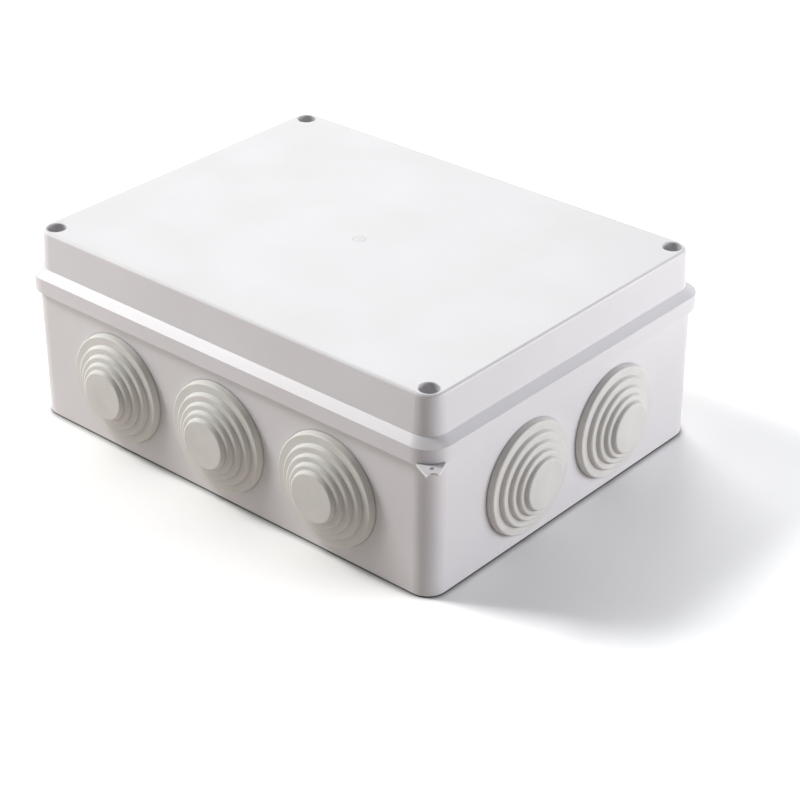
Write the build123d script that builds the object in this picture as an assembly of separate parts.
from build123d import *
import os

os.makedirs("parts", exist_ok=True)

# Millimetres, +Z up. The box stands on z = 0 with its middle on the Z axis, its long
# side with three cable entries faces -Y and its short side with two faces +X.

# Outline of the closed box
SKIRT_LENGTH = 200.0
SKIRT_WIDTH = 155.0
SKIRT_CORNER_R = 9.5
BOX_HEIGHT = 77.0

# Lid
SKIRT_BOTTOM_Z = 53.0
SKIRT_HEIGHT = 6.3
SLOPE_HEIGHT = 2.75
LID_TOP_INSET = 4.13
LID_WALL_DRAFT = 0.9
LID_TOP_CORNER_R = 6.9
LID_WALL = 2.4
LID_PLATE = 2.5
LID_TOP_ROUNDING = 1.2
LID_EDGE_ROUNDING = 0.3
SKIRT_WALL = 1.6
LEDGE_ABOVE_SKIRT_EDGE = 6.6
LIP_THICKNESS = 1.5
LIP_DEPTH = 3.6
LIP_GAP_TO_SEAL = 0.3

# Seal between lid and base
SEAL_WIDTH = 3.3
SEAL_THICKNESS = 2.0
SEAL_SIDE_GAP = 0.1

# Base
BASE_GAP_IN_SKIRT = 0.3
BASE_WALL = 2.5
BASE_FLOOR = 2.5
BASE_FOOT_ROUNDING = 0.8

# Lid screws, their brass inserts and posts
SCREW_INSET_FROM_SKIRT = 9.62
RECESS_R = 3.65
RECESS_RIM_CHAMFER = 0.25
SEAT_ABOVE_LEDGE = 2.4
LID_BOSS_R = 5.4
LID_BOSS_FOOT_R = 4.4
LID_BOSS_GAP_TO_POST = 0.3
SCREW_PITCH_R = 2.0
SCREW_CLEARANCE = 0.2
SCREW_LENGTH = 14.0
SCREW_POINT_CHAMFER = 0.6
SCREW_HEAD_R = 3.4
SCREW_HEAD_HEIGHT = 2.8
SCREW_HEAD_ROUNDING = 0.5
SCREW_SLOT_WIDTH = 1.0
SCREW_SLOT_LENGTH = 4.4
SCREW_SLOT_DEPTH = 1.6
RING_THICKNESS = 1.2
RING_R = 3.3
RING_BORE_GAP = 0.1
POST_R = 6.0
INSERT_R = 2.8
INSERT_LENGTH = 8.5
INSERT_SEAT_GAP = 0.02
INSERT_BORE_GAP = 0.05
INSERT_GROOVE_DEPTH = 0.4
INSERT_GROOVE_WIDTH = 1.0
PILOT_DEPTH = 16.0
PILOT_R = 2.3

# Cable grommets
GROMMET_CENTRE_Z = 26.3
LONG_SIDE_FLANGE_GAP = 8.9
SHORT_SIDE_FLANGE_GAP = 6.2
ENTRY_R = 18.5
NECK_GAP = 0.1
FLANGE_R = 21.7
FLANGE_DRAFT = 0.4
FLANGE_THICKNESS = 2.6
TIER_TOP_RADII = (17.4, 14.4, 11.8, 9.45)
TIER_DRAFT = 0.6
TIER_HEIGHTS = (1.6, 1.5, 1.5, 1.6)
RUBBER_WALL = 1.6
RUBBER_SKIN = 1.3
GROMMET_EDGE_CHAMFER = 0.35
INNER_BEAD_R = 20.5
INNER_BEAD_THICKNESS = 1.8
INNER_BEAD_DRAFT = 0.5

# Fixings in the floor
WALL_HOLE_INSET = 20.0
WALL_HOLE_R = 2.6
COLLAR_R = 6.0
COLLAR_HEIGHT = 5.0
COLLAR_BORE_R = 4.4
PLUG_GAP = 0.1
PLUG_CAP_R = 5.6
PLUG_CAP_THICKNESS = 1.2
PLUG_STEM_LENGTH = 4.0
PLATE_BOSS_INSET_X = 41.0
PLATE_BOSS_INSET_Y = 33.5
PLATE_BOSS_R = 3.6
PLATE_BOSS_HEIGHT = 8.0
PLATE_BOSS_PILOT_R = 1.5
PLATE_BOSS_PILOT_DEPTH = 7.0

# Small lug with a hole on the skirt's lower edge, at the +X -Y corner
LUG_THICKNESS = 0.9
LUG_FOOT = 6.8
LUG_REACH = 5.6
LUG_HOLE_R = 0.8
LUG_HOLE_PAST_SKIRT = 2.4
LUG_NOTCH_R = 2.4
LUG_NOTCH_PAST_SKIRT = 7.4

# Heights that follow from the sizes above
SLOPE_BOTTOM_Z = SKIRT_BOTTOM_Z + SKIRT_HEIGHT
SLOPE_TOP_Z = SLOPE_BOTTOM_Z + SLOPE_HEIGHT
LEDGE_Z = SKIRT_BOTTOM_Z + LEDGE_ABOVE_SKIRT_EDGE
RIM_Z = LEDGE_Z - SEAL_THICKNESS
SEAT_Z = LEDGE_Z + SEAT_ABOVE_LEDGE
HEAD_Z = SEAT_Z + RING_THICKNESS
PLATE_Z = BOX_HEIGHT - LID_PLATE

# Outlines that follow from the sizes above
LID_TOP_LENGTH = SKIRT_LENGTH - 2 * LID_TOP_INSET
LID_TOP_WIDTH = SKIRT_WIDTH - 2 * LID_TOP_INSET
LID_FOOT_LENGTH = LID_TOP_LENGTH + 2 * LID_WALL_DRAFT
LID_FOOT_WIDTH = LID_TOP_WIDTH + 2 * LID_WALL_DRAFT
LID_FOOT_CORNER_R = LID_TOP_CORNER_R + LID_WALL_DRAFT
SKIRT_INNER_LENGTH = SKIRT_LENGTH - 2 * SKIRT_WALL
SKIRT_INNER_WIDTH = SKIRT_WIDTH - 2 * SKIRT_WALL
SKIRT_INNER_CORNER_R = SKIRT_CORNER_R - SKIRT_WALL
BASE_LENGTH = SKIRT_INNER_LENGTH - 2 * BASE_GAP_IN_SKIRT
BASE_WIDTH = SKIRT_INNER_WIDTH - 2 * BASE_GAP_IN_SKIRT
BASE_CORNER_R = SKIRT_INNER_CORNER_R - BASE_GAP_IN_SKIRT
LONG_SIDE_PITCH = 2 * FLANGE_R + LONG_SIDE_FLANGE_GAP
SHORT_SIDE_PITCH = 2 * FLANGE_R + SHORT_SIDE_FLANGE_GAP
WALL_HOLE_X = SKIRT_LENGTH / 2 - WALL_HOLE_INSET
WALL_HOLE_Y = SKIRT_WIDTH / 2 - WALL_HOLE_INSET
PLATE_BOSS_X = SKIRT_LENGTH / 2 - PLATE_BOSS_INSET_X
PLATE_BOSS_Y = SKIRT_WIDTH / 2 - PLATE_BOSS_INSET_Y
SCREW_X = SKIRT_LENGTH / 2 - SCREW_INSET_FROM_SKIRT
SCREW_Y = SKIRT_WIDTH / 2 - SCREW_INSET_FROM_SKIRT
FRONT_WALL_Y = -BASE_WIDTH / 2
RIGHT_WALL_X = BASE_LENGTH / 2

CORNERS = (
    ("front_left", -SCREW_X, -SCREW_Y),
    ("front_right", SCREW_X, -SCREW_Y),
    ("back_left", -SCREW_X, SCREW_Y),
    ("back_right", SCREW_X, SCREW_Y),
)
WALL_HOLES = (
    ("front_left", -WALL_HOLE_X, -WALL_HOLE_Y),
    ("front_right", WALL_HOLE_X, -WALL_HOLE_Y),
    ("back_left", -WALL_HOLE_X, WALL_HOLE_Y),
    ("back_right", WALL_HOLE_X, WALL_HOLE_Y),
)


def entry(side, number, x, y, outward):
    """Name and place of one cable entry: Z of the plane points out of the box."""
    return f"grommet_{side}_{number}", Plane(origin=(x, y, GROMMET_CENTRE_Z), z_dir=outward)


def cable_entries():
    """The ten cable entries, three in each long wall and two in each short wall."""
    entries = []
    for number, step in enumerate((-1, 0, 1), start=1):
        x = step * LONG_SIDE_PITCH
        entries.append(entry("front", number, x, FRONT_WALL_Y, (0, -1, 0)))
        entries.append(entry("back", number, x, -FRONT_WALL_Y, (0, 1, 0)))
    for number, step in enumerate((-0.5, 0.5), start=1):
        y = step * SHORT_SIDE_PITCH
        entries.append(entry("right", number, RIGHT_WALL_X, y, (1, 0, 0)))
        entries.append(entry("left", number, -RIGHT_WALL_X, y, (-1, 0, 0)))
    return entries


def slab(length, width, corner_r, bottom, top):
    """Upright block with rounded corners."""
    outline = Plane.XY.offset(bottom) * RectangleRounded(length, width, corner_r)
    return extrude(outline, top - bottom)


def tapered(low, high, bottom, top):
    """Block between two rounded outlines, each given as length, width and corner radius."""
    low_outline = Plane.XY.offset(bottom) * RectangleRounded(*low)
    high_outline = Plane.XY.offset(top) * RectangleRounded(*high)
    return loft([low_outline, high_outline], ruled=True)


def pillar(x, y, radius, bottom, top):
    """Upright cylinder."""
    return extrude(Plane((x, y, bottom)) * Circle(radius), top - bottom)


def save(shape, name):
    """Write one node as a STEP file."""
    export_step(shape, f"parts/{name}.step")


def make_lid_shell():
    """Outer form of the lid with its cavity, seal ledge and skirt."""
    skirt = slab(SKIRT_LENGTH, SKIRT_WIDTH, SKIRT_CORNER_R, SKIRT_BOTTOM_Z, SLOPE_BOTTOM_Z)
    slope = tapered(
        (SKIRT_LENGTH, SKIRT_WIDTH, SKIRT_CORNER_R),
        (LID_FOOT_LENGTH, LID_FOOT_WIDTH, LID_FOOT_CORNER_R),
        SLOPE_BOTTOM_Z,
        SLOPE_TOP_Z,
    )
    walls = tapered(
        (LID_FOOT_LENGTH, LID_FOOT_WIDTH, LID_FOOT_CORNER_R),
        (LID_TOP_LENGTH, LID_TOP_WIDTH, LID_TOP_CORNER_R),
        SLOPE_TOP_Z,
        BOX_HEIGHT,
    )
    top_edges = walls.faces().sort_by(Axis.Z)[-1].edges()
    walls = fillet(top_edges, LID_TOP_ROUNDING)
    shell = skirt + slope + walls
    foot_edges = shell.faces().sort_by(Axis.Z)[0].edges()
    shell = fillet(foot_edges, LID_EDGE_ROUNDING)
    shell -= slab(SKIRT_INNER_LENGTH, SKIRT_INNER_WIDTH, SKIRT_INNER_CORNER_R, SKIRT_BOTTOM_Z, LEDGE_Z)
    cavity_foot = (
        LID_FOOT_LENGTH - 2 * LID_WALL,
        LID_FOOT_WIDTH - 2 * LID_WALL,
        LID_FOOT_CORNER_R - LID_WALL,
    )
    cavity_top = (
        LID_TOP_LENGTH - 2 * LID_WALL,
        LID_TOP_WIDTH - 2 * LID_WALL,
        LID_TOP_CORNER_R - LID_WALL,
    )
    return shell - tapered(cavity_foot, cavity_top, LEDGE_Z, PLATE_Z)


def make_locating_lip():
    """Rim inside the seal that centres the lid on the base, open at the screw posts."""
    reach = SEAL_SIDE_GAP + SEAL_WIDTH + LIP_GAP_TO_SEAL
    length = SKIRT_INNER_LENGTH - 2 * reach
    width = SKIRT_INNER_WIDTH - 2 * reach
    corner_r = SKIRT_INNER_CORNER_R - reach
    bottom = LEDGE_Z - LIP_DEPTH
    lip = slab(length, width, corner_r, bottom, LEDGE_Z + LIP_THICKNESS)
    lip -= slab(
        length - 2 * LIP_THICKNESS,
        width - 2 * LIP_THICKNESS,
        corner_r - LIP_THICKNESS,
        bottom,
        LEDGE_Z + LIP_THICKNESS,
    )
    for _, x, y in CORNERS:
        lip -= pillar(x, y, POST_R + LIP_THICKNESS, bottom, LEDGE_Z)
    return lip


def make_lug():
    """Small pointed lug across the front right corner, with a hole and a notched tip."""
    top = SKIRT_BOTTOM_Z + LUG_THICKNESS
    corner_x = SKIRT_LENGTH / 2
    corner_y = -SKIRT_WIDTH / 2
    arc_x = corner_x - SKIRT_CORNER_R
    arc_y = corner_y + SKIRT_CORNER_R
    points = (
        (corner_x - LUG_FOOT, corner_y),
        (corner_x + LUG_REACH, corner_y - LUG_REACH),
        (corner_x, corner_y + LUG_FOOT),
        (arc_x, arc_y),
    )
    outline = make_face(Plane.XY.offset(SKIRT_BOTTOM_Z) * Polyline(*points, close=True))
    lug = extrude(outline, LUG_THICKNESS)
    lug &= pillar(arc_x, arc_y, SKIRT_CORNER_R + LUG_NOTCH_PAST_SKIRT, SKIRT_BOTTOM_Z, top)
    lug -= slab(SKIRT_INNER_LENGTH, SKIRT_INNER_WIDTH, SKIRT_INNER_CORNER_R, SKIRT_BOTTOM_Z, top)
    for past_skirt, radius in (
        (LUG_HOLE_PAST_SKIRT, LUG_HOLE_R),
        (LUG_NOTCH_PAST_SKIRT, LUG_NOTCH_R),
    ):
        reach = (SKIRT_CORNER_R + past_skirt) / 2**0.5
        lug -= pillar(arc_x + reach, arc_y - reach, radius, SKIRT_BOTTOM_Z, top)
    return lug


def make_lid():
    """Lid with four screw bosses, each with a deep recess and a seat for the sealing ring."""
    lid = make_lid_shell() + make_lug() + make_locating_lip()
    boss_foot_z = RIM_Z + LID_BOSS_GAP_TO_POST
    inside_walls = slab(LID_TOP_LENGTH, LID_TOP_WIDTH, LID_TOP_CORNER_R, LEDGE_Z, PLATE_Z)
    for _, x, y in CORNERS:
        lid += pillar(x, y, LID_BOSS_R, LEDGE_Z, PLATE_Z) & inside_walls
        lid += pillar(x, y, LID_BOSS_FOOT_R, boss_foot_z, LEDGE_Z)
    for _, x, y in CORNERS:
        lid -= pillar(x, y, SCREW_PITCH_R + SCREW_CLEARANCE, boss_foot_z, SEAT_Z)
        lid -= pillar(x, y, RECESS_R, SEAT_Z, BOX_HEIGHT)
    rims = lid.edges().filter_by(GeomType.CIRCLE).filter_by(
        lambda edge: abs(edge.radius - RECESS_R) < LID_EDGE_ROUNDING and edge.center().Z > PLATE_Z
    )
    return chamfer(rims, RECESS_RIM_CHAMFER)


def make_seal():
    """Flat sealing ring between the lid's ledge and the rim of the base."""
    length = SKIRT_INNER_LENGTH - 2 * SEAL_SIDE_GAP
    width = SKIRT_INNER_WIDTH - 2 * SEAL_SIDE_GAP
    corner_r = SKIRT_INNER_CORNER_R - SEAL_SIDE_GAP
    seal = slab(length, width, corner_r, RIM_Z, LEDGE_Z)
    return seal - slab(
        length - 2 * SEAL_WIDTH,
        width - 2 * SEAL_WIDTH,
        corner_r - SEAL_WIDTH,
        RIM_Z,
        LEDGE_Z,
    )


def make_base():
    """Open base with screw posts, entry holes, floor collars and plate bosses."""
    block = slab(BASE_LENGTH, BASE_WIDTH, BASE_CORNER_R, 0, RIM_Z)
    block = fillet(block.faces().sort_by(Axis.Z)[0].edges(), BASE_FOOT_ROUNDING)
    base = block - slab(
        BASE_LENGTH - 2 * BASE_WALL,
        BASE_WIDTH - 2 * BASE_WALL,
        BASE_CORNER_R - BASE_WALL,
        BASE_FLOOR,
        RIM_Z,
    )
    for _, x, y in CORNERS:
        base += pillar(x, y, POST_R, BASE_FLOOR, RIM_Z)
        base -= pillar(x, y, INSERT_R + INSERT_SEAT_GAP, RIM_Z - INSERT_LENGTH, RIM_Z)
        base -= pillar(x, y, PILOT_R, RIM_Z - PILOT_DEPTH, RIM_Z - INSERT_LENGTH)
    for _, x, y in WALL_HOLES:
        base += pillar(x, y, COLLAR_R, BASE_FLOOR, BASE_FLOOR + COLLAR_HEIGHT)
        base -= pillar(x, y, COLLAR_BORE_R, BASE_FLOOR, BASE_FLOOR + COLLAR_HEIGHT)
        base -= pillar(x, y, WALL_HOLE_R, 0, BASE_FLOOR)
    boss_top = BASE_FLOOR + PLATE_BOSS_HEIGHT
    for x in (-PLATE_BOSS_X, PLATE_BOSS_X):
        for y in (-PLATE_BOSS_Y, PLATE_BOSS_Y):
            base += pillar(x, y, PLATE_BOSS_R, BASE_FLOOR, boss_top)
            base -= pillar(x, y, PLATE_BOSS_PILOT_R, boss_top - PLATE_BOSS_PILOT_DEPTH, boss_top)
    for _, plane in cable_entries():
        base -= extrude(plane * Circle(ENTRY_R), -BASE_WALL)
    return base


def grommet_outline():
    """Outline of half a grommet as (radius, height) points, height 0 on the wall's face."""
    outside = [(FLANGE_R, 0), (FLANGE_R - FLANGE_DRAFT, FLANGE_THICKNESS)]
    inside = []
    height = FLANGE_THICKNESS
    for top_r, rise in zip(TIER_TOP_RADII, TIER_HEIGHTS):
        outside.append((top_r + TIER_DRAFT, height))
        inside.append((top_r + TIER_DRAFT - RUBBER_WALL, height - RUBBER_WALL))
        height += rise
        outside.append((top_r, height))
        inside.append((top_r - RUBBER_WALL, height - RUBBER_WALL))
    skin_z = height - RUBBER_SKIN
    inside[-1] = (TIER_TOP_RADII[-1] - RUBBER_WALL, skin_z)
    neck_r = ENTRY_R - NECK_GAP
    bore_r = neck_r - RUBBER_WALL
    inside[0] = (bore_r, -BASE_WALL - INNER_BEAD_THICKNESS)
    inside[1] = (bore_r, FLANGE_THICKNESS + TIER_HEIGHTS[0] - RUBBER_WALL)
    bead = [
        (INNER_BEAD_R - INNER_BEAD_DRAFT, -BASE_WALL - INNER_BEAD_THICKNESS),
        (INNER_BEAD_R, -BASE_WALL),
        (neck_r, -BASE_WALL),
        (neck_r, 0),
    ]
    return outside, height, skin_z, inside, bead


def make_grommet():
    """Hollow stepped grommet about Z: flange outside, neck in the wall, bead inside."""
    outside, top, skin_z, inside, bead = grommet_outline()
    points = outside + [(0, top), (0, skin_z)] + inside[::-1] + bead
    outline = make_face(Plane.XZ * Polyline(*points, close=True))
    rims = []
    for radius, height in outside[1::2]:
        rims.append(outline.vertices().sort_by_distance(Vector(radius, 0, height))[0])
    return revolve(chamfer(rims, GROMMET_EDGE_CHAMFER), Axis.Z)


def make_insert(x, y):
    """Brass threaded insert for a lid screw, with a groove round its middle."""
    bottom = RIM_Z - INSERT_LENGTH
    middle = RIM_Z - INSERT_LENGTH / 2
    insert = pillar(x, y, INSERT_R, bottom, RIM_Z)
    groove = pillar(x, y, INSERT_R, middle - INSERT_GROOVE_WIDTH / 2, middle + INSERT_GROOVE_WIDTH / 2)
    groove -= pillar(
        x,
        y,
        INSERT_R - INSERT_GROOVE_DEPTH,
        middle - INSERT_GROOVE_WIDTH / 2,
        middle + INSERT_GROOVE_WIDTH / 2,
    )
    insert -= groove
    return insert - pillar(x, y, SCREW_PITCH_R + INSERT_BORE_GAP, bottom, RIM_Z)


def make_screw(x, y):
    """Lid screw with a rounded cheese head and a cross recess."""
    tip = HEAD_Z - SCREW_LENGTH
    head_top = HEAD_Z + SCREW_HEAD_HEIGHT
    head = pillar(x, y, SCREW_HEAD_R, HEAD_Z, head_top)
    head = fillet(head.faces().sort_by(Axis.Z)[-1].edges(), SCREW_HEAD_ROUNDING)
    for length, width in (
        (SCREW_SLOT_LENGTH, SCREW_SLOT_WIDTH),
        (SCREW_SLOT_WIDTH, SCREW_SLOT_LENGTH),
    ):
        arm = Plane((x, y, head_top - SCREW_SLOT_DEPTH)) * Rectangle(length, width)
        head -= extrude(arm, SCREW_SLOT_DEPTH)
    shank = pillar(x, y, SCREW_PITCH_R, tip, HEAD_Z)
    shank = chamfer(shank.faces().sort_by(Axis.Z)[0].edges(), SCREW_POINT_CHAMFER)
    return head + shank


def make_sealing_ring(x, y):
    """Rubber ring under a screw head, which also keeps the screw in the lid."""
    ring = pillar(x, y, RING_R, SEAT_Z, HEAD_Z)
    return ring - pillar(x, y, SCREW_PITCH_R + RING_BORE_GAP, SEAT_Z, HEAD_Z)


def make_plug(x, y):
    """Rubber plug that closes a wall fixing hole from inside."""
    collar_top = BASE_FLOOR + COLLAR_HEIGHT
    cap = pillar(x, y, PLUG_CAP_R, collar_top, collar_top + PLUG_CAP_THICKNESS)
    return cap + pillar(x, y, COLLAR_BORE_R - PLUG_GAP, collar_top - PLUG_STEM_LENGTH, collar_top)


save(make_base(), "base_box")
save(make_lid(), "lid")
save(make_seal(), "lid_seal")
for name, plane in cable_entries():
    save(plane.location * make_grommet(), name)
for corner, x, y in CORNERS:
    save(make_screw(x, y), f"lid_screw_{corner}")
    save(make_sealing_ring(x, y), f"screw_ring_{corner}")
    save(make_insert(x, y), f"threaded_insert_{corner}")
for corner, x, y in WALL_HOLES:
    save(make_plug(x, y), f"wall_hole_plug_{corner}")
